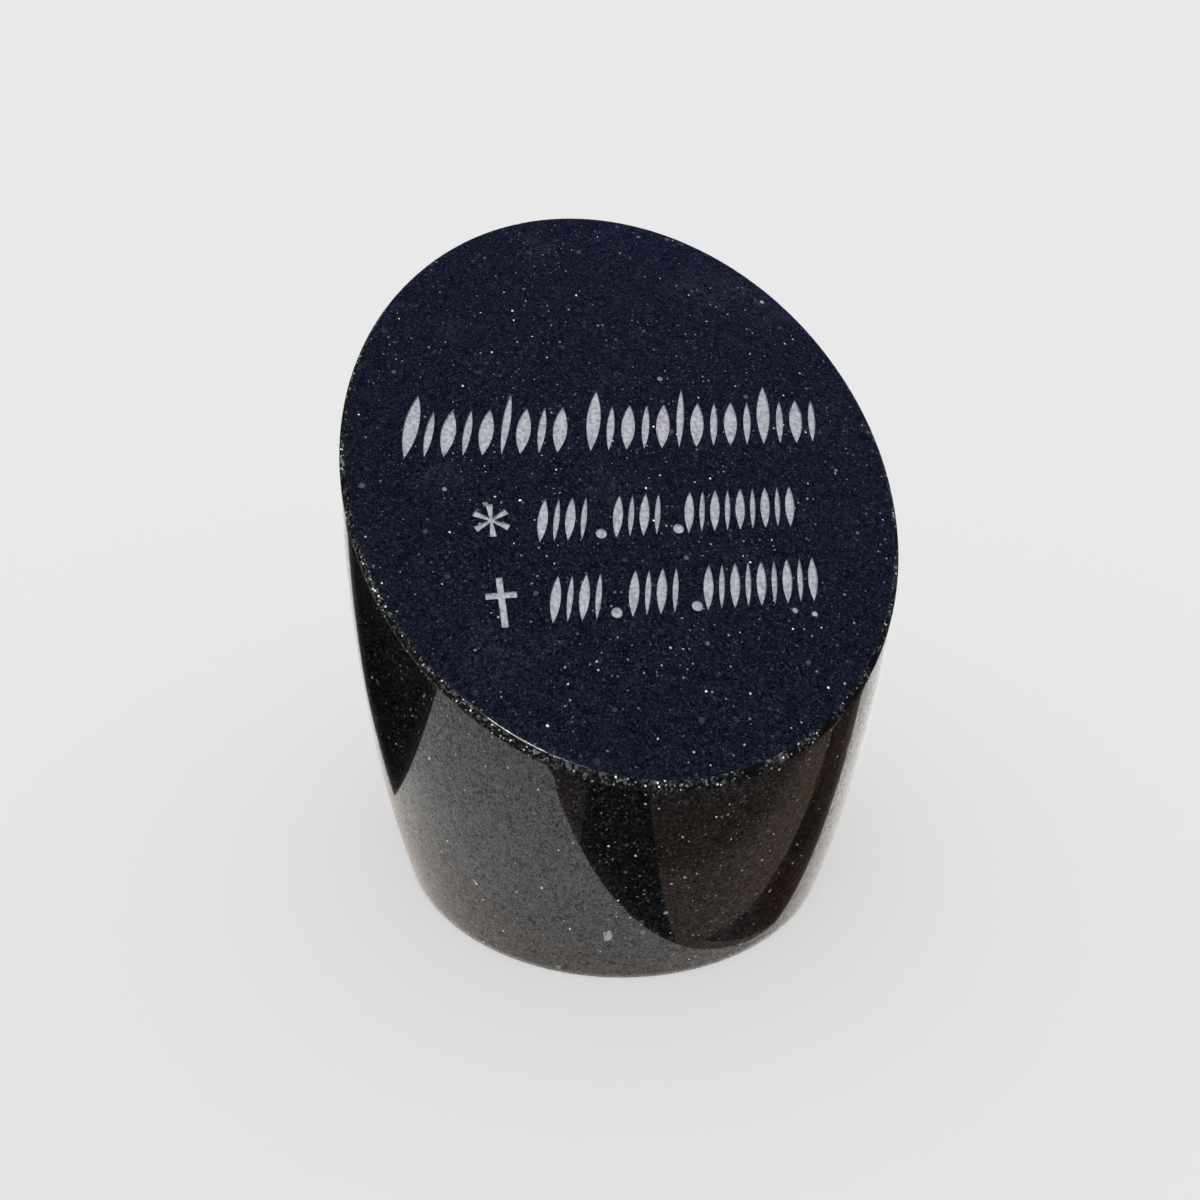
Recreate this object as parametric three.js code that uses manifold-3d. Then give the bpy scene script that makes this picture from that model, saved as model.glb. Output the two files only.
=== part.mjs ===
// A small headstone: one round column of dark granite, cut off at a slant, with an inscribed face.
//
// Millimetres, +Z up. The origin is the centre of the foot. The face rises towards +Y, so its rows
// are read by someone who stands on the -Y side and looks towards +Y, with +X to their right.

import * as THREE from 'three';
import Module from 'manifold-3d';
import { mergeVertices } from 'three/addons/utils/BufferGeometryUtils.js';

// The column: a round foot, a side that bows out gently, and a flat slanting face.
const FOOT_RADIUS = 108;
const BELLY_RADIUS = 124;
const BELLY_HEIGHT = 150;
const FACE_HEIGHT = 209;   // where the face crosses the column's axis
const FACE_SLOPE = 40;     // degrees
const FACE_CHAMFER_IN = 2;   // seen from above, in from the side
const FACE_CHAMFER_DOWN = 2.4;
const FOOT_CHAMFER = 1;

// How finely the round side is faceted, and how finely each curve of the inscription.
const SIDES = 120;
const SIDE_RINGS = 9;
const CURVE_STEPS = 7;

// The inscription. Places on the face are measured from the column's axis: x along a row, and
// y up the slope. A row's y is the line that its strokes stand on.
const STROKE_DEPTH = 1;
const STROKE_LEAN = 14;    // degrees, clockwise
const NAME_ROW_Y = -9.5;
const NAME_TALL = 34.5;
const NAME_SHORT = 25.5;
const NAME_THICK = 6.2;
const NAME_THIN = 3.4;
const NAME_PITCH = 8.1;
const NAME_GROUPS = [
  { start: -96, strokes: 9 },
  { start: -16.5, strokes: 14 },
];
const TALL_EVERY = 5;      // in the upper row, the first stroke of each five is a tall one

const DATE_ROWS_Y = [-54, -90.8];
const DATE_TALL = 21.6;
const DATE_THICK = 4.2;
const DATE_THIN = 2.4;
const DATE_PITCH = 5.8;
const DATE_GROUPS = [
  { start: -45, strokes: 4 },
  { start: -13, strokes: 4 },
  { start: 18.5, strokes: 9 },
];
const DOTS_X = [-19, 14.5];
const DOT_RADIUS = 2.3;

// The two signs that stand before the lower rows: a star of six arms and a plain cross.
const SIGN_X = -63.4;
const STAR_RISE = 11.8;    // the star's centre above the line of its row
const STAR_RADIUS = 7.8;
const STAR_ARMS = 6;
const STAR_ARM_ROOT = 1.2;
const STAR_ARM_END = 2.9;
const CROSS_HEIGHT = 21.8;
const CROSS_SPAN = 12.4;
const CROSS_BAR = 2.7;
const CROSS_ARMS_RISE = 13.8;

const wasm = await Module();
wasm.setup();

const slope = THREE.MathUtils.degToRad(FACE_SLOPE);

// The bowed side is an arc through the edge of the foot, upright where the column is widest.
const bulge = BELLY_RADIUS - FOOT_RADIUS;
const arcRadius = (BELLY_HEIGHT ** 2 + bulge ** 2) / (2 * bulge);

function sideRadius(height) {
  return BELLY_RADIUS - arcRadius + Math.sqrt(arcRadius ** 2 - (height - BELLY_HEIGHT) ** 2);
}

// The height at which the slanting face meets the side, or a surface that lies inside the side.
// It is the root of a quadratic: the plane of the face against the arc of the side.
function faceEdgeHeight(azimuth, inset) {
  const climb = Math.tan(slope) * Math.sin(azimuth);
  const rise = FACE_HEIGHT - BELLY_HEIGHT + climb * (BELLY_RADIUS - inset - arcRadius);
  const square = 1 + climb ** 2;
  const root = Math.sqrt(square * arcRadius ** 2 - rise ** 2);
  return BELLY_HEIGHT + (rise + climb * root) / square;
}

function sidePoint(azimuth, height, inset) {
  const radius = sideRadius(height) - inset;
  return new THREE.Vector3(radius * Math.cos(azimuth), radius * Math.sin(azimuth), height);
}

// The rings that the column's skin is drawn over, from the foot to the face.
function columnRings() {
  const rings = [];
  rings.push((azimuth) => {
    const point = sidePoint(azimuth, FOOT_CHAMFER, FOOT_CHAMFER);
    point.z = 0;
    return point;
  });
  for (let ring = 0; ring <= SIDE_RINGS; ring++) {
    const share = ring / SIDE_RINGS;
    rings.push((azimuth) => {
      const top = faceEdgeHeight(azimuth, 0) - FACE_CHAMFER_DOWN;
      return sidePoint(azimuth, THREE.MathUtils.lerp(FOOT_CHAMFER, top, share), 0);
    });
  }
  rings.push((azimuth) => {
    return sidePoint(azimuth, faceEdgeHeight(azimuth, FACE_CHAMFER_IN), FACE_CHAMFER_IN);
  });
  return rings;
}

// A closed skin over the rings, with a flat fan over the lowest ring and one over the highest.
function columnGeometry() {
  const rings = columnRings();
  const points = [new THREE.Vector3(0, 0, 0)];
  for (const ring of rings) {
    for (let side = 0; side < SIDES; side++) {
      points.push(ring((2 * Math.PI * side) / SIDES));
    }
  }
  points.push(new THREE.Vector3(0, 0, FACE_HEIGHT));

  const faceCentre = points.length - 1;
  const corner = (ring, side) => 1 + ring * SIDES + (side % SIDES);
  const triangles = [];
  for (let side = 0; side < SIDES; side++) {
    triangles.push(0, corner(0, side + 1), corner(0, side));
    for (let ring = 0; ring < rings.length - 1; ring++) {
      const low = corner(ring, side);
      const lowNext = corner(ring, side + 1);
      const high = corner(ring + 1, side);
      const highNext = corner(ring + 1, side + 1);
      triangles.push(low, lowNext, highNext, low, highNext, high);
    }
    triangles.push(corner(rings.length - 1, side), corner(rings.length - 1, side + 1), faceCentre);
  }

  const geometry = new THREE.BufferGeometry().setFromPoints(points);
  geometry.setIndex(triangles);
  return geometry;
}

function toSolid(geometry) {
  geometry.deleteAttribute('normal');
  geometry.deleteAttribute('uv');
  const merged = mergeVertices(geometry);
  return new wasm.Manifold(new wasm.Mesh({
    numProp: 3,
    vertProperties: new Float32Array(merged.attributes.position.array),
    triVerts: new Uint32Array(merged.index.array),
  }));
}

function toGeometry(solid) {
  const mesh = solid.getMesh();
  const geometry = new THREE.BufferGeometry();
  geometry.setAttribute('position', new THREE.BufferAttribute(new Float32Array(mesh.vertProperties), 3));
  geometry.setIndex(Array.from(mesh.triVerts));
  geometry.computeVertexNormals();
  return geometry;
}

// One stroke's outline, pointed at both ends and full in the middle, standing on its lower point.
function strokeShape(length, width) {
  const shape = new THREE.Shape();
  shape.moveTo(0, 0);
  shape.quadraticCurveTo(width, length / 2, 0, length);
  shape.quadraticCurveTo(-width, length / 2, 0, 0);
  return shape;
}

function dotShape() {
  const shape = new THREE.Shape();
  shape.absarc(0, DOT_RADIUS, DOT_RADIUS, 0, 2 * Math.PI);
  return shape;
}

// The star's arms widen to square ends, and a notch lies between each arm and the next.
function starShape() {
  const centre = new THREE.Vector2(0, STAR_RISE);
  const halfStep = Math.PI / STAR_ARMS;
  const widening = (STAR_ARM_END - STAR_ARM_ROOT) / (2 * STAR_RADIUS);
  const notchRise = STAR_ARM_ROOT / 2 / (Math.tan(halfStep) - widening);
  const corners = [];
  for (let arm = 0; arm < STAR_ARMS; arm++) {
    const armCorners = [
      new THREE.Vector2(STAR_ARM_END / 2, STAR_RISE + STAR_RADIUS),
      new THREE.Vector2(-STAR_ARM_END / 2, STAR_RISE + STAR_RADIUS),
      new THREE.Vector2(-notchRise * Math.tan(halfStep), STAR_RISE + notchRise),
    ];
    for (const corner of armCorners) {
      corners.push(corner.rotateAround(centre, 2 * halfStep * arm));
    }
  }
  return new THREE.Shape(corners);
}

function crossShape() {
  const bar = CROSS_BAR / 2;
  const arm = CROSS_SPAN / 2;
  const low = CROSS_ARMS_RISE - bar;
  const high = CROSS_ARMS_RISE + bar;
  const right = [[bar, 0], [bar, low], [arm, low], [arm, high], [bar, high], [bar, CROSS_HEIGHT]];
  const left = right.map(([x, y]) => [-x, y]).reverse();
  return new THREE.Shape([...right, ...left].map(([x, y]) => new THREE.Vector2(x, y)));
}

// The solid that a mark takes out of the face: its outline from the floor to clear of the face.
function markSolid(shape, x, y, lean = 0) {
  const geometry = new THREE.ExtrudeGeometry(shape, {
    depth: 2 * STROKE_DEPTH,
    bevelEnabled: false,
    curveSegments: CURVE_STEPS,
  });
  geometry.rotateZ(-lean);
  geometry.translate(x, y, -STROKE_DEPTH);
  geometry.rotateX(slope);
  geometry.translate(0, 0, FACE_HEIGHT);
  return toSolid(geometry);
}

// A row of strokes, thick and thin by turns, in groups with a space between them.
function rowMarks(groups, rowY, pitch, thick, thin, lengthOf) {
  const lean = THREE.MathUtils.degToRad(STROKE_LEAN);
  const marks = [];
  for (const group of groups) {
    for (let stroke = 0; stroke < group.strokes; stroke++) {
      const width = stroke % 2 === 0 ? thick : thin;
      const shape = strokeShape(lengthOf(stroke), width);
      marks.push(markSolid(shape, group.start + stroke * pitch, rowY, lean));
    }
  }
  return marks;
}

function inscription() {
  const nameLength = (stroke) => (stroke % TALL_EVERY === 0 ? NAME_TALL : NAME_SHORT);
  const dateLength = () => DATE_TALL;
  const marks = rowMarks(NAME_GROUPS, NAME_ROW_Y, NAME_PITCH, NAME_THICK, NAME_THIN, nameLength);
  for (const rowY of DATE_ROWS_Y) {
    marks.push(...rowMarks(DATE_GROUPS, rowY, DATE_PITCH, DATE_THICK, DATE_THIN, dateLength));
    marks.push(...DOTS_X.map((x) => markSolid(dotShape(), x, rowY)));
  }
  const [starRowY, crossRowY] = DATE_ROWS_Y;
  marks.push(markSolid(starShape(), SIGN_X, starRowY));
  marks.push(markSolid(crossShape(), SIGN_X, crossRowY));
  return marks;
}

function headstone() {
  let stone = toSolid(columnGeometry());
  for (const mark of inscription()) {
    stone = stone.subtract(mark);
  }
  const granite = new THREE.MeshStandardMaterial({ color: 0x14171f, roughness: 0.25, metalness: 0 });
  const mesh = new THREE.Mesh(toGeometry(stone), granite);
  mesh.name = 'headstone';
  return mesh;
}

const part = new THREE.Group();
part.add(headstone());

export default part;
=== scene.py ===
import math

import bpy
from mathutils import Matrix, Vector


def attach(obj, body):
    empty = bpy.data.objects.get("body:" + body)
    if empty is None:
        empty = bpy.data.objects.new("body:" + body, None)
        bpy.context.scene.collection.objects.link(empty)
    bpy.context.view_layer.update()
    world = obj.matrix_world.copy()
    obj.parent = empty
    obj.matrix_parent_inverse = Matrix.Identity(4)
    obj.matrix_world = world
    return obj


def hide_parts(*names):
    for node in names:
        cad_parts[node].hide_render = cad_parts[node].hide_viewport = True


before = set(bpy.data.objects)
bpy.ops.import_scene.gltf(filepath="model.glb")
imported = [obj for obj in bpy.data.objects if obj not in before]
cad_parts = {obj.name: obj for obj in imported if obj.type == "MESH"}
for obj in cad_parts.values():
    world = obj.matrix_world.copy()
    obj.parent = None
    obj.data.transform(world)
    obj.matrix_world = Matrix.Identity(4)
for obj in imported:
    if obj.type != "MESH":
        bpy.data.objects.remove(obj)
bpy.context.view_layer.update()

# The camera stands in front of the stone and a little to its left, and looks down on it.
# It was fitted to the outline of the stone, so its place is the photograph's own.
CAMERA_AZIMUTH = math.radians(-13.57)
CAMERA_ELEVATION = math.radians(22.65)
CAMERA_ROLL = math.radians(0.78)
CAMERA_PLACE = (-0.0982, -0.3671, 0.2866)
CAMERA_LENS = 25.68
CAMERA_SENSOR = 36.0


def add_camera():
    back = Vector((
        math.sin(CAMERA_AZIMUTH) * math.cos(CAMERA_ELEVATION),
        -math.cos(CAMERA_AZIMUTH) * math.cos(CAMERA_ELEVATION),
        math.sin(CAMERA_ELEVATION),
    ))
    right = Vector((0, 0, 1)).cross(back).normalized()
    up = back.cross(right)
    level = Matrix((right, up, back)).transposed().to_4x4()
    data = bpy.data.cameras.new("camera")
    data.lens = CAMERA_LENS
    data.sensor_width = CAMERA_SENSOR
    camera = bpy.data.objects.new("camera", data)
    camera.matrix_world = (
        Matrix.Translation(CAMERA_PLACE) @ level @ Matrix.Rotation(CAMERA_ROLL, 4, "Z")
    )
    bpy.context.scene.collection.objects.link(camera)
    bpy.context.scene.camera = camera


add_camera()


# The column is one block of dark granite. It is turned to a round shaft that bows out a little
# above the foot, sawn flat below and cut off at a slant above, and then polished on the side and on
# the slanting face. The edge round the face is only ground, so it stays rough; its sparkle is
# glints painted into its colour.
MM = 0.001
FOOT_RADIUS = 108 * MM
BELLY_RADIUS = 124 * MM
BELLY_HEIGHT = 150 * MM
FACE_HEIGHT = 209 * MM
FACE_SLOPE = math.radians(40)
FOOT_CHAMFER = 1 * MM

# The edge between the side and the face, as seen in a section: each point is its distance in
# from the side and its depth below the face.
SIDE_END = (0.0, 2.9 * MM)
SIDE_CORNER = (0.0, 2.4 * MM)
GROUND_START = (0.25 * MM, 2.1 * MM)
GROUND_END = (1.35 * MM, 0.78 * MM)
FACE_CORNER = (2.1 * MM, 0.0)
FACE_START = (4.5 * MM, 0.0)

AROUND = 720
SIDE_RINGS = 40
GROUND_RINGS = 5
CORNER_RINGS = 4
GROUND_INNER_RINGS = 2
CORNER_GROUND = 0.5
EDGE_RELIEF = 0.22 * MM
EDGE_GRAIN = 620.0
EDGE_SEED = 4.0


def add_node(tree, kind, values=None, **settings):
    node = tree.nodes.new(kind)
    for name, value in settings.items():
        setattr(node, name, value)
    for socket, value in (values or {}).items():
        if isinstance(value, bpy.types.NodeSocket):
            tree.links.new(value, node.inputs[socket])
        else:
            node.inputs[socket].default_value = value
    return node


def maths(tree, operation, *values):
    return add_node(tree, "ShaderNodeMath", dict(enumerate(values)), operation=operation).outputs[0]


def new_tree(name, kind, inputs, outputs):
    tree = bpy.data.node_groups.new(name, kind)
    for label, socket_type, value in inputs:
        socket = tree.interface.new_socket(label, in_out="INPUT", socket_type=socket_type)
        if value is not None:
            socket.default_value = value
    for label, socket_type in outputs:
        tree.interface.new_socket(label, in_out="OUTPUT", socket_type=socket_type)
    given = tree.nodes.new("NodeGroupInput")
    return tree, given.outputs, tree.nodes.new("NodeGroupOutput").inputs


def dress(tree, geometry, material, **chosen):
    """Gives a geometry its material, or only its chosen faces."""
    values = {"Geometry": geometry, "Material": material, **chosen}
    return add_node(tree, "GeometryNodeSetMaterial", values).outputs[0]


def set_inputs(modifier, **values):
    sockets = {item.name: item.identifier for item in modifier.node_group.interface.items_tree
               if item.in_out == "INPUT"}
    for name, value in values.items():
        modifier[sockets[name.replace("_", " ")]] = value


def column_tree():
    """Bends a straight blank of rings to the bowed side and cuts it off under the slanting face."""
    tree, given, result = new_tree("bowed column", "GeometryNodeTree", [
        ("Geometry", "NodeSocketGeometry", None),
        ("Foot Radius", "NodeSocketFloat", FOOT_RADIUS),
        ("Belly Radius", "NodeSocketFloat", BELLY_RADIUS),
        ("Belly Height", "NodeSocketFloat", BELLY_HEIGHT),
        ("Face Height", "NodeSocketFloat", FACE_HEIGHT),
        ("Face Slope", "NodeSocketFloat", FACE_SLOPE),
        ("Edge Relief", "NodeSocketFloat", EDGE_RELIEF),
        ("Edge Grain", "NodeSocketFloat", EDGE_GRAIN),
        ("Seed", "NodeSocketFloat", EDGE_SEED),
    ], [("Geometry", "NodeSocketGeometry")])

    def calc(operation, *values):
        return maths(tree, operation, *values)

    def read(name):
        attribute = add_node(tree, "GeometryNodeInputNamedAttribute", {"Name": name})
        return attribute.outputs["Attribute"]

    azimuth, inset, drop = read("azimuth"), read("inset"), read("drop")
    low, share, ground = read("low"), read("share"), read("ground")
    belly, belly_height = given["Belly Radius"], given["Belly Height"]

    bulge = calc("SUBTRACT", belly, given["Foot Radius"])
    arc_square = calc("ADD", calc("POWER", belly_height, 2.0), calc("POWER", bulge, 2.0))
    arc = calc("DIVIDE", calc("DIVIDE", arc_square, bulge), 2.0)

    rise = calc("MULTIPLY", calc("TANGENT", given["Face Slope"]), calc("SINE", azimuth))
    one = calc("ADD", calc("POWER", rise, 2.0), 1.0)
    reach = calc("SUBTRACT", calc("SUBTRACT", belly, inset), arc)
    above = calc("SUBTRACT", given["Face Height"], belly_height)
    start = calc("MULTIPLY_ADD", rise, reach, above)
    arc_part = calc("MULTIPLY", one, calc("POWER", arc, 2.0))
    under_root = calc("SUBTRACT", arc_part, calc("POWER", start, 2.0))
    over = calc("DIVIDE", calc("MULTIPLY_ADD", rise, calc("SQRT", under_root), start), one)
    top = calc("SUBTRACT", calc("ADD", belly_height, over), drop)

    height = calc("MULTIPLY_ADD", share, calc("SUBTRACT", top, low), low)
    past_belly = calc("SUBTRACT", height, belly_height)
    bow = calc("SQRT", calc("SUBTRACT", calc("POWER", arc, 2.0), calc("POWER", past_belly, 2.0)))
    radius = calc("ADD", reach, bow)
    place = add_node(tree, "ShaderNodeCombineXYZ", {
        "X": calc("MULTIPLY", radius, calc("COSINE", azimuth)),
        "Y": calc("MULTIPLY", radius, calc("SINE", azimuth)),
        "Z": height,
    }).outputs[0]
    shaped = add_node(tree, "GeometryNodeSetPosition", {
        "Geometry": given["Geometry"], "Position": place,
    })

    noise = add_node(tree, "ShaderNodeTexNoise", {
        "Scale": given["Edge Grain"], "Detail": 2.0, "W": given["Seed"],
    }, noise_dimensions="4D").outputs[0]
    relief = calc("MULTIPLY", calc("SUBTRACT", noise, 0.5), given["Edge Relief"])
    relief = calc("MULTIPLY", relief, ground)
    outward = add_node(tree, "GeometryNodeInputNormal").outputs[0]
    offset = add_node(tree, "ShaderNodeVectorMath", {
        0: outward, "Scale": relief,
    }, operation="SCALE")
    rough = add_node(tree, "GeometryNodeSetPosition", {
        "Geometry": shaped.outputs[0], "Offset": offset.outputs[0],
    })
    solid = add_node(tree, "GeometryNodeRealizeInstances", {0: rough.outputs[0]})
    polished = dress(tree, solid.outputs[0], GRANITE)
    tree.links.new(dress(tree, polished, SAWN, Selection=read("sawn")), result["Geometry"])
    return tree


def bend_points(start, corner, end, steps):
    """Points of a small rounding between two straight runs, without its two ends."""
    points = []
    for step in range(1, steps):
        t = step / steps
        points.append(tuple(
            (1 - t) ** 2 * a + 2 * t * (1 - t) * b + t ** 2 * c
            for a, b, c in zip(start, corner, end)
        ))
    return points


def column_rings():
    """Each ring: lowest height, share of the way up, distance in, depth below the face, and how
    far it is ground instead of polished."""
    rings = [(0.0, 0.0, FOOT_CHAMFER, 0.0, 0.0)]
    for ring in range(SIDE_RINGS + 1):
        rings.append((FOOT_CHAMFER, ring / SIDE_RINGS, *SIDE_END, 0.0))
    for point in bend_points(SIDE_END, SIDE_CORNER, GROUND_START, CORNER_RINGS):
        rings.append((0.0, 1.0, *point, CORNER_GROUND))
    for ring in range(GROUND_RINGS + 1):
        t = ring / GROUND_RINGS
        point = [a + (b - a) * t for a, b in zip(GROUND_START, GROUND_END)]
        rings.append((0.0, 1.0, *point, 1.0))
    inner = bend_points(GROUND_END, FACE_CORNER, FACE_START, 2 * CORNER_RINGS)
    for number, point in enumerate(inner):
        rings.append((0.0, 1.0, *point, 1.0 if number < GROUND_INNER_RINGS else 0.0))
    rings.append((0.0, 1.0, *FACE_START, 0.0))
    return rings


def column_blank():
    rings = column_rings()
    azimuths = [2 * math.pi * side / AROUND for side in range(AROUND)]
    points = [(math.cos(a), math.sin(a), level) for level in range(len(rings)) for a in azimuths]
    faces = [tuple(reversed(range(AROUND)))]
    for ring in range(len(rings) - 1):
        for side in range(AROUND):
            after = (side + 1) % AROUND
            low, high = ring * AROUND, (ring + 1) * AROUND
            faces.append((low + side, low + after, high + after, high + side))
    last = (len(rings) - 1) * AROUND
    faces.append(tuple(range(last, last + AROUND)))
    mesh = bpy.data.meshes.new("headstone_blank")
    mesh.from_pydata(points, [], faces)
    mesh.polygons.foreach_set("use_smooth", [0 < i < len(faces) - 1 for i in range(len(faces))])
    sawn = mesh.attributes.new("sawn", "FLOAT", "FACE")
    sawn.data.foreach_set("value", [1.0] + [0.0] * (len(faces) - 1))
    columns = list(zip(*rings))
    for name, values in zip(("low", "share", "inset", "drop", "ground"), columns):
        attribute = mesh.attributes.new(name, "FLOAT", "POINT")
        attribute.data.foreach_set("value", [value for value in values for _ in azimuths])
    attribute = mesh.attributes.new("azimuth", "FLOAT", "POINT")
    attribute.data.foreach_set("value", azimuths * len(rings))
    return mesh


# The stone's own look. It is a fine black granite: a nearly black ground mottled with greyer
# grains just under a millimetre across, pale clouds, and bright crystals scattered all through it.
GRAIN_SIZE = 0.8 * MM
WISP_SIZE = 2.6 * MM
CRYSTAL_SPACING = 2.5 * MM
CRYSTAL_RADIUS = 0.42 * MM
FLECK_SPACING = 8 * MM
FLECK_RADIUS = 1.1 * MM
CLOUD_SIZE = 40 * MM
STONE_COLOUR = (0.0029, 0.0030, 0.0035, 1)
WISP_COLOUR = (0.034, 0.038, 0.052, 1)
CLOUD_COLOUR = (0.027, 0.030, 0.038, 1)
CRYSTAL_COLOUR = (0.86, 0.88, 0.90, 1)
GRAIN_CONTRAST = 1500.0

# Where each feature sets in and where it is full, as shares of its noise.
CURL_LINES = (0.05, 0.01)
CURL_GRAINS = (0.54, 0.70)
HAZE_CLOUDS = (0.55, 0.80)
HAZE_WISPS = (0.35, 0.7)
HAZE_AMOUNT = 0.5

# A crystal's light is the faintest light over a chance, so most are faint and few are bright.
CRYSTAL_FAINTEST = 0.027
FLECK_FAINTEST = 0.010
CRYSTAL_CHANCES = 1.015
CRYSTAL_SMALLEST = 0.5
CRYSTAL_SIZE_RANGE = 0.9
CRYSTAL_WOBBLE = 2.2 * CRYSTAL_RADIUS
CRYSTAL_EDGE = (0.0, 0.3)


def smooth_step(tree, value, start, end):
    return add_node(tree, "ShaderNodeMapRange", {
        "Value": value, "From Min": start, "From Max": end,
    }, interpolation_type="SMOOTHSTEP").outputs[0]


def mix_colours(tree, share, first, second):
    node = add_node(tree, "ShaderNodeMix", data_type="RGBA")
    for socket, value in ((0, share), (6, first), (7, second)):
        if isinstance(value, bpy.types.NodeSocket):
            tree.links.new(value, node.inputs[socket])
        else:
            node.inputs[socket].default_value = value
    return node.outputs[2]


def add_noise(tree, where, scale, detail=2.0, **more):
    values = {"Vector": where, "Scale": scale, "Detail": detail, **more}
    return add_node(tree, "ShaderNodeTexNoise", values).outputs


def grain_group():
    """The mottled colour of the granite, its bright crystals, and how dense each grain is."""
    tree, given, result = new_tree("granite grain", "ShaderNodeTree", [
        ("Vector", "NodeSocketVector", None),
        ("Crystal Amount", "NodeSocketFloat", 1.0),
    ], [
        ("Color", "NodeSocketColor"),
        ("Crystals", "NodeSocketFloat"),
        ("Grain", "NodeSocketFloat"),
    ])
    where = given["Vector"]

    def calc(operation, *values):
        return maths(tree, operation, *values)

    grain = add_noise(tree, where, 1 / GRAIN_SIZE, Roughness=0.6)[0]
    wisp = add_noise(tree, where, 1 / WISP_SIZE, 3.0, Roughness=0.65, Distortion=1.6)[0]
    cloud = add_noise(tree, where, 1 / CLOUD_SIZE)[0]
    density = calc("ADD", calc("SUBTRACT", grain, 0.5), calc("SUBTRACT", wisp, 0.5))
    colour = add_node(tree, "ShaderNodeVectorMath", {
        0: STONE_COLOUR[:3], "Scale": calc("POWER", GRAIN_CONTRAST, density),
    }, operation="SCALE").outputs[0]
    curl = add_noise(tree, where, 0.8 / WISP_SIZE, 1.0, Distortion=2.5)[0]
    curl = smooth_step(tree, calc("ABSOLUTE", calc("SUBTRACT", curl, 0.5)), *CURL_LINES)
    curl = calc("MULTIPLY", curl, smooth_step(tree, grain, *CURL_GRAINS))
    colour = mix_colours(tree, curl, colour, WISP_COLOUR)
    clouded = smooth_step(tree, cloud, *HAZE_CLOUDS)
    haze = calc("MULTIPLY", clouded, smooth_step(tree, wisp, *HAZE_WISPS))
    colour = mix_colours(tree, calc("MULTIPLY", haze, HAZE_AMOUNT), colour, CLOUD_COLOUR)

    bent = add_node(tree, "ShaderNodeVectorMath", {
        0: add_noise(tree, where, 1 / CRYSTAL_RADIUS)["Color"], 1: (CRYSTAL_WOBBLE,) * 3, 2: where,
    }, operation="MULTIPLY_ADD").outputs[0]

    def crystals(spacing, radius, faintest):
        """Scattered crystals: most are faint, and very few as bright as they can be."""
        cells = add_node(tree, "ShaderNodeTexVoronoi", {"Vector": bent, "Scale": 1 / spacing})
        chances = add_node(tree, "ShaderNodeSeparateColor", {0: cells.outputs["Color"]}).outputs
        share = radius / spacing
        smallest, added = CRYSTAL_SMALLEST * share, CRYSTAL_SIZE_RANGE * share
        size = calc("MULTIPLY_ADD", chances[1], added, smallest)
        body = calc("SUBTRACT", 1.0, calc("DIVIDE", cells.outputs["Distance"], size))
        light = calc("DIVIDE", faintest, calc("SUBTRACT", CRYSTAL_CHANCES, chances[0]))
        return calc("MULTIPLY", smooth_step(tree, body, *CRYSTAL_EDGE), light)

    small = crystals(CRYSTAL_SPACING, CRYSTAL_RADIUS, CRYSTAL_FAINTEST)
    flecks = crystals(FLECK_SPACING, FLECK_RADIUS, FLECK_FAINTEST)
    bright = calc("MULTIPLY", calc("MAXIMUM", small, flecks), given["Crystal Amount"])
    bright = calc("MINIMUM", bright, 1.0)
    tree.links.new(mix_colours(tree, bright, colour, CRYSTAL_COLOUR), result["Color"])
    tree.links.new(bright, result["Crystals"])
    tree.links.new(density, result["Grain"])
    return tree


GRAIN = grain_group()


def new_material(name):
    material = bpy.data.materials.new(name)
    material.use_nodes = True
    tree = material.node_tree
    return material, tree, tree.nodes["Principled BSDF"]


def grain_of(tree, amount):
    where = add_node(tree, "ShaderNodeTexCoord").outputs["Object"]
    grain = add_node(tree, "ShaderNodeGroup", node_tree=GRAIN)
    tree.links.new(where, grain.inputs["Vector"])
    grain.inputs["Crystal Amount"].default_value = amount
    return where, grain.outputs


# One large pale crystal shows low on the front of the side. Each of its flat edges is a direction
# in degrees, seen from in front, and its distance from the crystal's centre.
LARGE_CRYSTAL = Vector((-30.8, -109.3, 28.7)) * MM
LARGE_CRYSTAL_EDGES = [
    (10, 1.6 * MM), (55, 2.9 * MM), (112, 2.7 * MM),
    (185, 1.6 * MM), (245, 3.1 * MM), (310, 2.3 * MM),
]
LARGE_CRYSTAL_COLOUR = (0.22, 0.25, 0.26, 1)
LARGE_CRYSTAL_FRAY = 0.5 * MM
LARGE_CRYSTAL_RIM = (0.4 * MM, 0.2 * MM)

# Along the ground edge the stone is chipped and broken into facets, dark and pale by chance, and a
# few of them carry painted sparks: glints painted into the colour as near-white specks. They crowd
# in some places, and are sparser down the outer half of the edge.
CHIP_SCALE = 900.0
CHIP_DEPTH = 0.8
CHIPPED = (0.35, 0.60)
FACET_SCALE = 1050.0
FACET_CHANCE_POWER = 5.0
BROKEN_DARK = (0.0012, 0.0012, 0.0012, 1)
BROKEN_PALE = (0.15, 0.16, 0.165, 1)
CROWD_SCALE = 70.0
CROWDED = (0.36, 0.60)
CROWD_FULL_DEPTH = 1.3 * MM
OUTER_CROWD = 0.4
PAINTED_SPARK_COLOUR = (0.95, 0.93, 0.88, 1)
PAINTED_SPARK_SIZE = (0.50, 0.28)
PAINTED_SPARK_CHANCE = (0.86, 0.97)
LONE_PAINTED_SPARKS = 0.15
GROUND_BUMP = 5.0

# The polish is a clear coat, and it is thinner over the sparser grains.
POLISHED_ROUGHNESS = 0.20
GROUND_ROUGHNESS = 0.75
POLISH = 0.78
POLISH_BY_GRAIN = 2.3
POLISH_ROUGHNESS = 0.02
POLISH_IOR = 1.7
STONE_SPECULAR = 0.06


def set_values(shader, values):
    for socket, value in values.items():
        shader.inputs[socket].default_value = value


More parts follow.
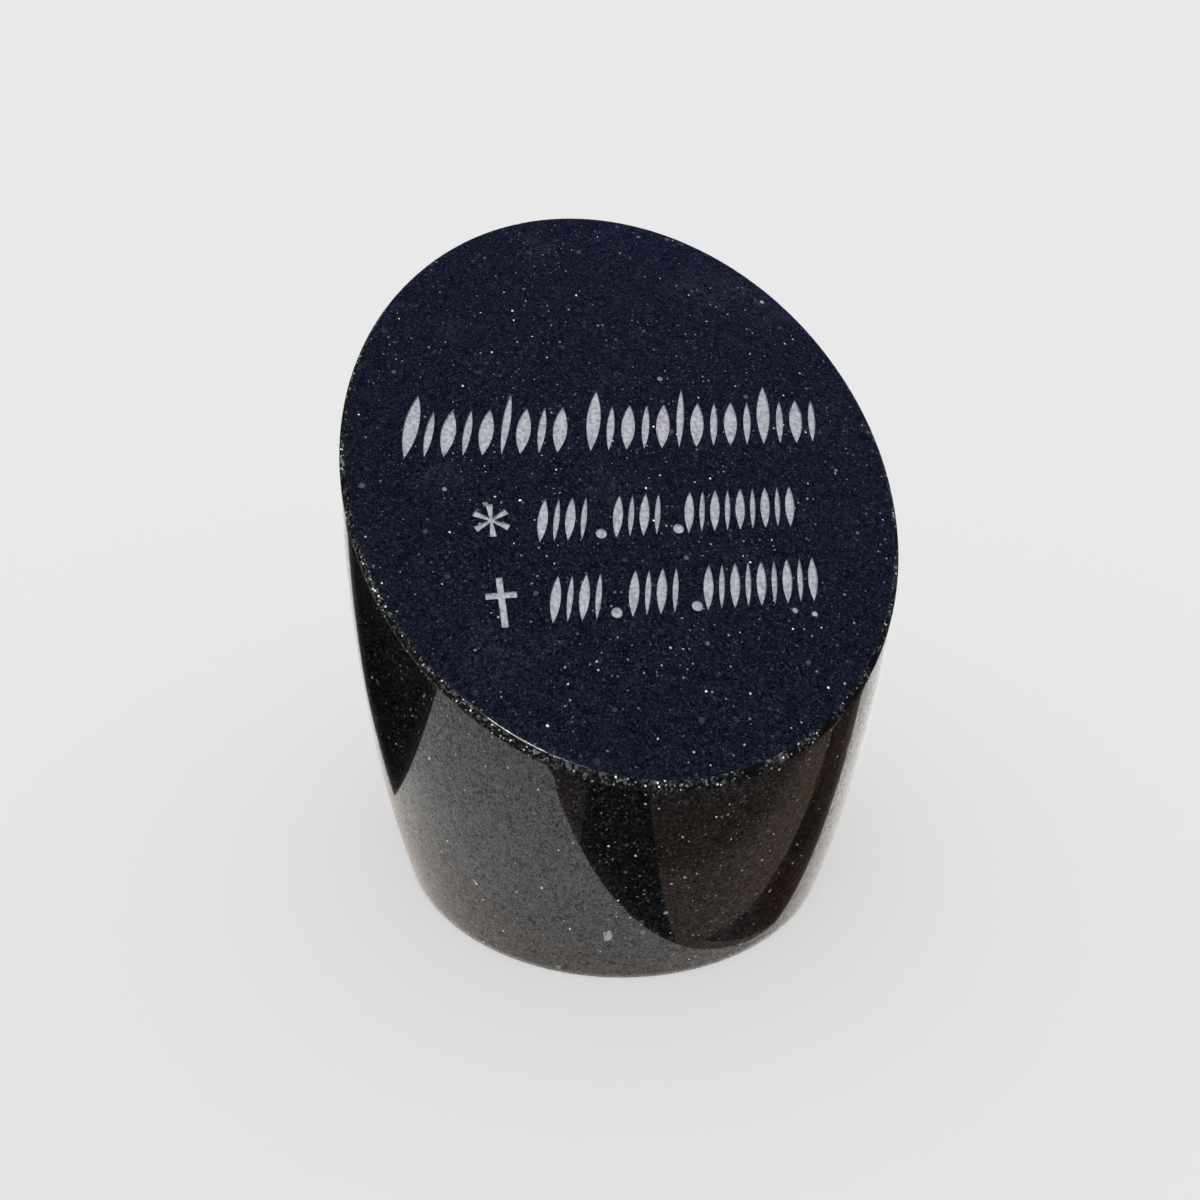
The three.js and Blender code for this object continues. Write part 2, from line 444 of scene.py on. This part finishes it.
def add_bump(tree, shader, strength, distance, height):
    bump = add_node(tree, "ShaderNodeBump", {
        "Strength": strength, "Distance": distance, "Height": height,
    })
    tree.links.new(bump.outputs[0], shader.inputs["Normal"])


def large_crystal(tree, where):
    """A mask that is set inside all the crystal's flat edges, and frayed a little."""
    sideways = Vector((-LARGE_CRYSTAL.y, LARGE_CRYSTAL.x, 0)).normalized()
    upwards = Vector((0, 0, 1))
    outside = 0.0
    for direction, distance in LARGE_CRYSTAL_EDGES:
        turn = math.radians(direction)
        outwards = sideways * math.cos(turn) + upwards * math.sin(turn)
        reach = add_node(tree, "ShaderNodeVectorMath", {
            0: where, 1: outwards,
        }, operation="DOT_PRODUCT").outputs["Value"]
        past = maths(tree, "SUBTRACT", reach, outwards.dot(LARGE_CRYSTAL) + distance)
        outside = maths(tree, "MAXIMUM", outside, past)
    frayed = add_noise(tree, where, CHIP_SCALE)[0]
    frayed = maths(tree, "MULTIPLY_ADD", frayed, LARGE_CRYSTAL_FRAY, outside)
    return smooth_step(tree, frayed, *LARGE_CRYSTAL_RIM)


def granite_material():
    """Polished granite. Where the ground attribute is set, the same stone is rough, with sparks
    painted into its colour as glints.
    """
    material, tree, shader = new_material("polished granite")
    where, grain = grain_of(tree, 1.0)
    colour = mix_colours(tree, large_crystal(tree, where), grain["Color"], LARGE_CRYSTAL_COLOUR)

    def calc(operation, *values):
        return maths(tree, operation, *values)

    def read(name):
        return add_node(tree, "ShaderNodeAttribute", attribute_name=name).outputs["Fac"]

    chips = add_noise(tree, where, CHIP_SCALE)[0]
    inward = calc("SUBTRACT", read("ground"), CHIP_DEPTH / 2)
    ground = smooth_step(tree, calc("MULTIPLY_ADD", chips, CHIP_DEPTH, inward), *CHIPPED)

    facets = add_node(tree, "ShaderNodeTexVoronoi", {"Vector": where, "Scale": FACET_SCALE}).outputs
    chances = add_node(tree, "ShaderNodeSeparateColor", {0: facets["Color"]}).outputs
    crowd = smooth_step(tree, add_noise(tree, where, CROWD_SCALE)[0], *CROWDED)
    inner = smooth_step(tree, read("drop"), SIDE_CORNER[1], CROWD_FULL_DEPTH)
    crowd = calc("MULTIPLY", crowd, calc("MULTIPLY_ADD", inner, 1 - OUTER_CROWD, OUTER_CROWD))
    facet = calc("MULTIPLY", calc("POWER", chances[0], FACET_CHANCE_POWER), crowd)
    broken_and_painted_sparks = mix_colours(tree, facet, BROKEN_DARK, BROKEN_PALE)
    # Painted glints: near-white sparks mixed into the colour of the ground edge.
    painted_spark = smooth_step(tree, facets["Distance"], *PAINTED_SPARK_SIZE)
    painted_spark = calc("MULTIPLY", painted_spark, smooth_step(tree, chances[1], *PAINTED_SPARK_CHANCE))
    painted_spark = calc("MULTIPLY", painted_spark, calc("MULTIPLY_ADD", crowd, 1 - LONE_PAINTED_SPARKS, LONE_PAINTED_SPARKS))
    broken_and_painted_sparks = mix_colours(tree, painted_spark, broken_and_painted_sparks, PAINTED_SPARK_COLOUR)

    tree.links.new(mix_colours(tree, ground, colour, broken_and_painted_sparks), shader.inputs["Base Color"])
    added = GROUND_ROUGHNESS - POLISHED_ROUGHNESS
    rough = calc("MULTIPLY_ADD", ground, added, POLISHED_ROUGHNESS)
    tree.links.new(rough, shader.inputs["Roughness"])
    polish = calc("MULTIPLY_ADD", grain["Grain"], POLISH_BY_GRAIN, POLISH)
    polish = calc("MULTIPLY", polish, calc("SUBTRACT", 1.0, ground))
    polish = calc("MINIMUM", calc("MAXIMUM", polish, 0.0), 1.0)
    tree.links.new(polish, shader.inputs["Coat Weight"])
    set_values(shader, {
        "Specular IOR Level": STONE_SPECULAR,
        "Coat Roughness": POLISH_ROUGHNESS,
        "Coat IOR": POLISH_IOR,
    })
    broken_height = calc("ADD", chips, chances[2])
    ground_height = calc("MULTIPLY", ground, GROUND_BUMP)
    height = calc("MULTIPLY_ADD", ground_height, broken_height, grain["Grain"])
    add_bump(tree, shader, 0.35, 0.06 * MM, height)
    return material


SAWN_COLOUR = (0.085, 0.087, 0.09, 1)
SAWN_PALE = 0.55
SAWN_TRACKS = 0.15
SAWN_ROUGHNESS = 0.75
SAWN_CRYSTALS = 0.3


def sawn_material():
    """The underside, left as the saw leaves it: dull grey, with faint parallel tracks."""
    material, tree, shader = new_material("sawn granite")
    where, grain = grain_of(tree, SAWN_CRYSTALS)
    tracks = add_node(tree, "ShaderNodeTexWave", {
        "Vector": where, "Scale": 90.0, "Distortion": 1.5, "Detail": 2.0, "Detail Scale": 0.5,
    }, bands_direction="Y").outputs["Fac"]
    pale = maths(tree, "MULTIPLY_ADD", tracks, SAWN_TRACKS, SAWN_PALE)
    colour = mix_colours(tree, pale, grain["Color"], SAWN_COLOUR)
    tree.links.new(colour, shader.inputs["Base Color"])
    set_values(shader, {"Roughness": SAWN_ROUGHNESS})
    height = maths(tree, "MULTIPLY_ADD", grain["Grain"], 0.5, tracks)
    add_bump(tree, shader, 0.5, 0.15 * MM, height)
    return material


# The inscription is sunk into the polished face: rows of pointed strokes, thick and thin by
# turns, with a star and a plain cross before the two lower rows. The sunk floors are blasted
# matt, so they look pale grey beside the dark polish.
STROKE_DEPTH = 1 * MM
STROKE_LEAN = math.radians(14)
NAME_ROW_Y = -9.5 * MM
NAME_SIZES = {"Tall": 34.5 * MM, "Short": 25.5 * MM, "Thick": 6.2 * MM, "Thin": 3.4 * MM}
NAME_PITCH = 8.1 * MM
NAME_GROUPS = [(-96 * MM, 9), (-16.5 * MM, 14)]
TALL_EVERY = 5
DATE_ROWS_Y = [-54 * MM, -90.8 * MM]
DATE_SIZES = {"Tall": 21.6 * MM, "Short": 21.6 * MM, "Thick": 4.2 * MM, "Thin": 2.4 * MM}
DATE_PITCH = 5.8 * MM
DATE_GROUPS = [(-45 * MM, 4), (-13 * MM, 4), (18.5 * MM, 9)]
DOTS_X = [-19 * MM, 14.5 * MM]
DOT_RADIUS = 2.3 * MM
SIGN_X = -63.4 * MM
STAR_RISE = 11.8 * MM
STAR_RADIUS = 7.8 * MM
STAR_ARMS = 6
STAR_ARM_ROOT = 1.2 * MM
STAR_ARM_END = 2.9 * MM
CROSS_HEIGHT = 21.8 * MM
CROSS_SPAN = 12.4 * MM
CROSS_BAR = 2.7 * MM
CROSS_ARMS_RISE = 13.8 * MM
STROKE_CORNERS = 48

FROST_DARK = (0.13, 0.13, 0.15, 1)
FROST_PALE = (0.46, 0.46, 0.51, 1)
FROST_CRYSTAL_COLOUR = (0.80, 0.80, 0.82, 1)
FROST_CRYSTALS = 0.8
FROST_ROUGHNESS = 0.8
SPECKLE_SCALE = 700.0
SPECKLED = (0.3, 0.7)
FROST_PATCH_SCALE = 260.0


def frosted_material():
    """The blasted floors of the strokes: pale and matt, with the stone's grains showing through."""
    material, tree, shader = new_material("frosted granite")
    where, grain = grain_of(tree, FROST_CRYSTALS)
    speckle = add_noise(tree, where, SPECKLE_SCALE, 3.0)[0]
    patch = maths(tree, "MULTIPLY", add_noise(tree, where, FROST_PATCH_SCALE)[0], 0.5)
    share = maths(tree, "MULTIPLY_ADD", smooth_step(tree, speckle, *SPECKLED), 0.6, patch)
    colour = mix_colours(tree, share, FROST_DARK, FROST_PALE)
    colour = mix_colours(tree, grain["Crystals"], colour, FROST_CRYSTAL_COLOUR)
    tree.links.new(colour, shader.inputs["Base Color"])
    set_values(shader, {"Roughness": FROST_ROUGHNESS})
    add_bump(tree, shader, 0.5, 0.1 * MM, speckle)
    return material


GRANITE = granite_material()
SAWN = sawn_material()
FROSTED = frosted_material()


def stroke_tree():
    """A group of pointed strokes along a row, each a solid that is later taken out of the face."""
    tree, given, result = new_tree("stroke group", "GeometryNodeTree", [
        ("Geometry", "NodeSocketGeometry", None),
        ("Start X", "NodeSocketFloat", 0.0),
        ("Row Y", "NodeSocketFloat", 0.0),
        ("Strokes", "NodeSocketInt", 4),
        ("Pitch", "NodeSocketFloat", DATE_PITCH),
        ("Tall", "NodeSocketFloat", DATE_SIZES["Tall"]),
        ("Short", "NodeSocketFloat", DATE_SIZES["Short"]),
        ("Thick", "NodeSocketFloat", DATE_SIZES["Thick"]),
        ("Thin", "NodeSocketFloat", DATE_SIZES["Thin"]),
        ("Tall Every", "NodeSocketInt", TALL_EVERY),
        ("Lean", "NodeSocketFloat", STROKE_LEAN),
        ("Depth", "NodeSocketFloat", STROKE_DEPTH),
    ], [("Geometry", "NodeSocketGeometry")])

    def calc(operation, *values):
        return maths(tree, operation, *values)

    disc = add_node(tree, "GeometryNodeMeshCylinder", {
        "Vertices": STROKE_CORNERS, "Radius": 1.0, "Depth": 2.0,
    }, fill_type="NGON")
    at = add_node(tree, "ShaderNodeSeparateXYZ", {
        0: add_node(tree, "GeometryNodeInputPosition").outputs[0],
    }).outputs
    leaf = add_node(tree, "ShaderNodeCombineXYZ", {
        "X": calc("MULTIPLY", calc("MULTIPLY", at["X"], calc("ABSOLUTE", at["X"])), 0.5),
        "Y": calc("MULTIPLY_ADD", at["Y"], 0.5, 0.5),
        "Z": at["Z"],
    }).outputs[0]
    stroke = add_node(tree, "GeometryNodeSetPosition", {
        "Geometry": disc.outputs["Mesh"], "Position": leaf,
    })

    start = add_node(tree, "ShaderNodeCombineXYZ", {"X": given["Start X"], "Y": given["Row Y"]})
    step = add_node(tree, "ShaderNodeCombineXYZ", {"X": given["Pitch"]})
    line = add_node(tree, "GeometryNodeMeshLine", {
        "Count": given["Strokes"], "Start Location": start.outputs[0], "Offset": step.outputs[0],
    })
    index = add_node(tree, "GeometryNodeInputIndex").outputs[0]

    def pick(every, first, others):
        """The first of each run of this many strokes is unlike the others."""
        later = calc("MINIMUM", calc("MODULO", index, every), 1.0)
        return calc("MULTIPLY_ADD", later, calc("SUBTRACT", others, first), first)

    size = add_node(tree, "ShaderNodeCombineXYZ", {
        "X": pick(2.0, given["Thick"], given["Thin"]),
        "Y": pick(given["Tall Every"], given["Tall"], given["Short"]),
        "Z": given["Depth"],
    })
    lean = add_node(tree, "ShaderNodeCombineXYZ", {"Z": calc("MULTIPLY", given["Lean"], -1.0)})
    placed = add_node(tree, "GeometryNodeInstanceOnPoints", {
        "Points": line.outputs[0], "Instance": stroke.outputs[0],
        "Rotation": lean.outputs[0], "Scale": size.outputs[0],
    })
    solid = add_node(tree, "GeometryNodeRealizeInstances", {0: placed.outputs[0]})
    tree.links.new(dress(tree, solid.outputs[0], FROSTED), result["Geometry"])
    return tree


def new_object(name, mesh):
    made = bpy.data.objects.new(name, mesh)
    bpy.context.scene.collection.objects.link(made)
    return made


def settle(made):
    """Turns an object's modifiers into plain mesh."""
    evaluated = made.evaluated_get(bpy.context.evaluated_depsgraph_get())
    mesh = bpy.data.meshes.new_from_object(evaluated)
    made.modifiers.clear()
    old = made.data
    made.data = mesh
    bpy.data.meshes.remove(old)
    return made


def stroke_group(tree, start, strokes, row_y, pitch, sizes):
    made = new_object("strokes", bpy.data.meshes.new("strokes"))
    modifier = made.modifiers.new("stroke group", "NODES")
    modifier.node_group = tree
    set_inputs(modifier, Start_X=start, Row_Y=row_y, Strokes=strokes, Pitch=pitch, **sizes)
    return settle(made)


def sunk_sign(outline):
    """A closed solid over an outline, as deep below the face as it stands above it."""
    count = len(outline)
    points = [(x, y, z) for z in (-STROKE_DEPTH, STROKE_DEPTH) for x, y in outline]
    faces = [tuple(reversed(range(count))), tuple(range(count, 2 * count))]
    for i in range(count):
        j = (i + 1) % count
        faces.append((i, j, count + j, count + i))
    mesh = bpy.data.meshes.new("sign")
    mesh.from_pydata(points, [], faces)
    mesh.materials.append(FROSTED)
    return new_object("sign", mesh)


def dot_outline(x, y):
    turns = [2 * math.pi * i / STROKE_CORNERS for i in range(STROKE_CORNERS)]
    return [(x + DOT_RADIUS * math.cos(a), y + DOT_RADIUS * (1 + math.sin(a))) for a in turns]


def star_outline(x, y):
    """Each arm gives the corners of its square end, and the notch between it and the next arm."""
    outline = []
    notch = STAR_ARM_ROOT / 2 / math.sin(math.pi / STAR_ARMS)
    for arm in range(STAR_ARMS):
        turn = 2 * math.pi * arm / STAR_ARMS
        along = Vector((-math.sin(turn), math.cos(turn)))
        across = Vector((math.cos(turn), math.sin(turn)))
        between = turn + math.pi / STAR_ARMS
        outline.append(along * STAR_RADIUS + across * STAR_ARM_END / 2)
        outline.append(along * STAR_RADIUS - across * STAR_ARM_END / 2)
        outline.append(Vector((-math.sin(between), math.cos(between))) * notch)
    return [(x + p.x, y + p.y) for p in outline]


def cross_outline(x, y):
    half, arm = CROSS_BAR / 2, CROSS_SPAN / 2
    low, high = CROSS_ARMS_RISE - half, CROSS_ARMS_RISE + half
    right = [(half, 0), (half, low), (arm, low), (arm, high), (half, high), (half, CROSS_HEIGHT)]
    left = [(-a, b) for a, b in reversed(right)]
    return [(x + a, y + b) for a, b in right + left]


def inscription_cutter():
    tree = stroke_tree()
    parts = []
    for start, strokes in NAME_GROUPS:
        parts.append(stroke_group(tree, start, strokes, NAME_ROW_Y, NAME_PITCH, NAME_SIZES))
    for row_y in DATE_ROWS_Y:
        for start, strokes in DATE_GROUPS:
            parts.append(stroke_group(tree, start, strokes, row_y, DATE_PITCH, DATE_SIZES))
        for x in DOTS_X:
            parts.append(sunk_sign(dot_outline(x, row_y)))
    star_row, cross_row = DATE_ROWS_Y
    parts.append(sunk_sign(star_outline(SIGN_X, star_row + STAR_RISE)))
    parts.append(sunk_sign(cross_outline(SIGN_X, cross_row)))
    with bpy.context.temp_override(active_object=parts[0], selected_editable_objects=parts):
        bpy.ops.object.join()
    cutter = parts[0]
    onto_face = Matrix.Translation((0, 0, FACE_HEIGHT)) @ Matrix.Rotation(FACE_SLOPE, 4, "X")
    cutter.data.transform(onto_face)
    return cutter


def build_headstone():
    stone = new_object("headstone_finished", column_blank())
    shape = stone.modifiers.new("bowed column", "NODES")
    shape.node_group = column_tree()
    settle(stone)
    cutter = inscription_cutter()
    cut = stone.modifiers.new("inscription", "BOOLEAN")
    cut.operation = "DIFFERENCE"
    cut.solver = "EXACT"
    cut.material_mode = "TRANSFER"
    cut.object = cutter
    settle(stone)
    bpy.data.objects.remove(cutter)
    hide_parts("headstone")
    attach(stone, "root")


build_headstone()


# A plain pale floor under plain soft light: a broad sun from the front and a pale sky.
FLOOR_RADIUS = 15.0
FLOOR_CORNERS = 96
FLOOR_COLOUR = (0.787, 0.787, 0.787, 1)
SUN_STRENGTH = 2.6
SUN_ANGLE = math.radians(10)
SUN_AZIMUTH = math.radians(-109)
SUN_ELEVATION = math.radians(42)
HORIZON = (0.815, 0.815, 0.815, 1)
ZENITH = (0.42, 0.42, 0.42, 1)
HORIZON_END = math.radians(12)
ZENITH_START = math.radians(35)


def add_floor():
    turns = [2 * math.pi * i / FLOOR_CORNERS for i in range(FLOOR_CORNERS)]
    points = [(FLOOR_RADIUS * math.cos(a), FLOOR_RADIUS * math.sin(a), 0) for a in turns]
    mesh = bpy.data.meshes.new("floor")
    mesh.from_pydata(points, [], [tuple(range(FLOOR_CORNERS))])
    material, _, shader = new_material("floor")
    set_values(shader, {"Base Color": FLOOR_COLOUR, "Roughness": 0.9, "Specular IOR Level": 0.0})
    mesh.materials.append(material)
    new_object("floor", mesh)


def add_sun():
    data = bpy.data.lights.new("sun", "SUN")
    data.energy = SUN_STRENGTH
    data.angle = SUN_ANGLE
    sun = bpy.data.objects.new("sun", data)
    towards = Vector((
        math.cos(SUN_AZIMUTH) * math.cos(SUN_ELEVATION),
        math.sin(SUN_AZIMUTH) * math.cos(SUN_ELEVATION),
        math.sin(SUN_ELEVATION),
    ))
    sun.rotation_euler = towards.to_track_quat("Z", "Y").to_euler()
    bpy.context.scene.collection.objects.link(sun)


def add_sky():
    world = bpy.data.worlds.new("studio")
    world.use_nodes = True
    tree = world.node_tree
    direction = add_node(tree, "ShaderNodeTexCoord").outputs["Generated"]
    up = add_node(tree, "ShaderNodeSeparateXYZ", {0: direction}).outputs["Z"]
    share = smooth_step(tree, up, math.sin(HORIZON_END), math.sin(ZENITH_START))
    colour = mix_colours(tree, share, HORIZON, ZENITH)
    tree.links.new(colour, tree.nodes["Background"].inputs["Color"])
    bpy.context.scene.world = world


# Flat glowing sheets that only the polish sees: painted reflections, which light nothing. The ones
# on the floor paint the mirrored side's pale field and its dark ones, and a dim blue one high over
# the stone darkens the sloping face with a painted blue reflection.
# Each has its name, its height, its dark and its pale colour, a ramp between them (the direction in
# degrees, the start and the end in mm) or none for a streaked sheet, how patchy it is, and its
# outline in mm along two lines on the floor.
RUN = Vector((0.871, 0.491, 0))
ACROSS = Vector((-0.491, 0.871, 0))
FLOOR_SHEETS = [
    ("pale sheet", 0.2 * MM, (1.03, 1.00, 0.96, 1), (1.12, 1.09, 1.06, 1), (0, -100, 110), 0.0,
     [(-1500, -1500), (1500, -1500), (1500, 1500), (-1500, 1500)]),
    ("left dark sheet", 0.5 * MM, (0.0, 0.0, 0.0, 1), (0.006, 0.006, 0.007, 1), (0, -900, 900), 4.0,
     [(-113, 97), (-420, 101), (-420, 320), (-300, 700), (-260, 1200), (-40, 1200), (-60, 700),
      (-75, 400), (-88, 230), (-105, 150)]),
    ("brown sheet", 0.5 * MM, (0.140, 0.098, 0.075, 1), (0.30, 0.220, 0.175, 1),
     (63.5, -174, -154), 0.5,
     [(-1500, -1500), (1500, -1500), (1500, -412), (0, -112), (-50, -107), (-200, -108),
      (-300, -126), (-1500, -340)]),
    ("black strip", 0.8 * MM, (0.0, 0.0, 0.0, 1), (0.010, 0.009, 0.008, 1), (0, -900, 900), 4.0,
     [(-57, -107), (-128, -190), (-600, -727), (-900, -500), (-190, -144), (-150, -108)]),
    # A painted reflection of a dark wood strip, seen only in the polished side.
    ("painted wood reflection", 0.8 * MM, (0.002, 0.0012, 0.001, 1), (0.10, 0.045, 0.032, 1), None, 3.5,
     [(-44, -112), (1500, -881), (1500, -412), (0, -112)]),
]
# FOOT_SHADE dims and warms the sheets' glow near the stone's foot: a painted contact shadow in the
# mirror.
FOOT_SHADE = (0.66, 0.625, 0.595, 1)
FOOT_SHADE_CENTRE = Vector((0, 22, 0)) * MM
FOOT_SHADE_START = 112 * MM
FOOT_SHADE_END = 186 * MM
# The ceiling sheet paints a dim blue reflection on the polished face and lights nothing.
CEILING_SHEET_HEIGHT = 3.0
CEILING_SHEET_HALF = 4.0
CEILING_COLOUR = (0.056, 0.088, 0.245, 1)
# Two glowing sheets, seen only in the polish, paint the highlight on the rounding at the edge of
# the face; they light nothing. Each has its name, its distance, its colour, and its outline as
# azimuths and elevations in degrees.
HIGHLIGHT_SHEETS = [
    ("rim highlight sheet", 2.5, (16.0, 16.0, 16.0, 1),
     [(-116, 43), (-110, 36), (-102, 36), (-97, 42), (-102, 49), (-111, 50)]),
    ("long highlight sheet", 2.6, (1.6, 2.0, 2.7, 1),
     [(-140, 46), (-122, 40), (-90, 41), (-90, 45), (-122, 47)]),
]

SHEET_PATCHES = 22.0
STREAKS_ALONG = 0.4
STREAKS_ACROSS = 4.0
STREAKS_DIRECTION = ACROSS + 0.35 * RUN


def add_sheet(name, corners, dark, pale, ramp, patchiness):
    """A glowing sheet, seen only in the polish, that paints a reflection: it goes from dark to pale
    across its ramp, and in patches or streaks. Its glow is dimmer and warmer close to the foot of
    the stone, a painted contact shadow."""
    mesh = bpy.data.meshes.new(name)
    mesh.from_pydata(corners, [], [tuple(range(len(corners)))])
    material, tree, shader = new_material(name)
    where = add_node(tree, "ShaderNodeTexCoord").outputs["Object"]

    def calc(operation, *values):
        return maths(tree, operation, *values)

    def reach(direction):
        return add_node(tree, "ShaderNodeVectorMath", {
            0: where, 1: direction,
        }, operation="DOT_PRODUCT").outputs["Value"]

    patch_place = where
    share = 0.5
    if ramp is None:
        patch_place = add_node(tree, "ShaderNodeCombineXYZ", {
            "X": calc("MULTIPLY", reach(RUN), STREAKS_ALONG),
            "Y": calc("MULTIPLY", reach(STREAKS_DIRECTION), STREAKS_ACROSS),
        }).outputs[0]
    else:
        turn, start, end = math.radians(ramp[0]), ramp[1] * MM, ramp[2] * MM
        share = smooth_step(tree, reach(RUN * math.cos(turn) + ACROSS * math.sin(turn)), start, end)
    patches = calc("SUBTRACT", add_noise(tree, patch_place, SHEET_PATCHES, 4.0)[0], 0.5)
    share = calc("MULTIPLY_ADD", patches, patchiness, share)
    share = calc("MINIMUM", calc("MAXIMUM", share, 0.0), 1.0)
    # Painted contact shadow: the glow is dimmed and warmed close to the foot of the stone.
    away = add_node(tree, "ShaderNodeVectorMath", {
        0: where, 1: FOOT_SHADE_CENTRE,
    }, operation="DISTANCE").outputs["Value"]
    clear = smooth_step(tree, away, FOOT_SHADE_START, FOOT_SHADE_END)
    glow = add_node(tree, "ShaderNodeVectorMath", {
        0: mix_colours(tree, share, dark, pale),
        1: mix_colours(tree, clear, FOOT_SHADE, (1, 1, 1, 1)),
    }, operation="MULTIPLY").outputs[0]
    tree.links.new(glow, shader.inputs["Emission Color"])
    set_values(shader, {
        "Base Color": (0, 0, 0, 1), "Specular IOR Level": 0.0, "Emission Strength": 1.0,
    })
    mesh.materials.append(material)
    sheet = new_object(name, mesh)
    sheet.visible_camera = False
    sheet.visible_diffuse = False
    sheet.visible_shadow = False


# Each sheet is a painted reflection: a glowing outline that only the polish sees.
def add_sheets():
    for name, height, dark, pale, ramp, patchiness, outline in FLOOR_SHEETS:
        points = [(RUN * along + ACROSS * across) * MM for along, across in outline]
        add_sheet(name, [(p.x, p.y, height) for p in points], dark, pale, ramp, patchiness)
    half, high = CEILING_SHEET_HALF, CEILING_SHEET_HEIGHT
    corners = [(-half, -half, high), (half, -half, high), (half, half, high), (-half, half, high)]
    add_sheet("ceiling sheet", corners, CEILING_COLOUR, CEILING_COLOUR, None, 0.0)

    # The highlight sheets are painted highlights: glowing outlines that only the polish sees.
    for name, distance, colour, outline in HIGHLIGHT_SHEETS:
        corners = []
        for azimuth, elevation in outline:
            a, e = math.radians(azimuth), math.radians(elevation)
            towards = Vector((math.cos(e) * math.cos(a), math.cos(e) * math.sin(a), math.sin(e)))
            corners.append(towards * distance)
        add_sheet(name, corners, colour, colour, None, 0.0)


add_floor()
add_sun()
add_sky()
add_sheets()
bpy.context.scene.view_settings.view_transform = "Standard"
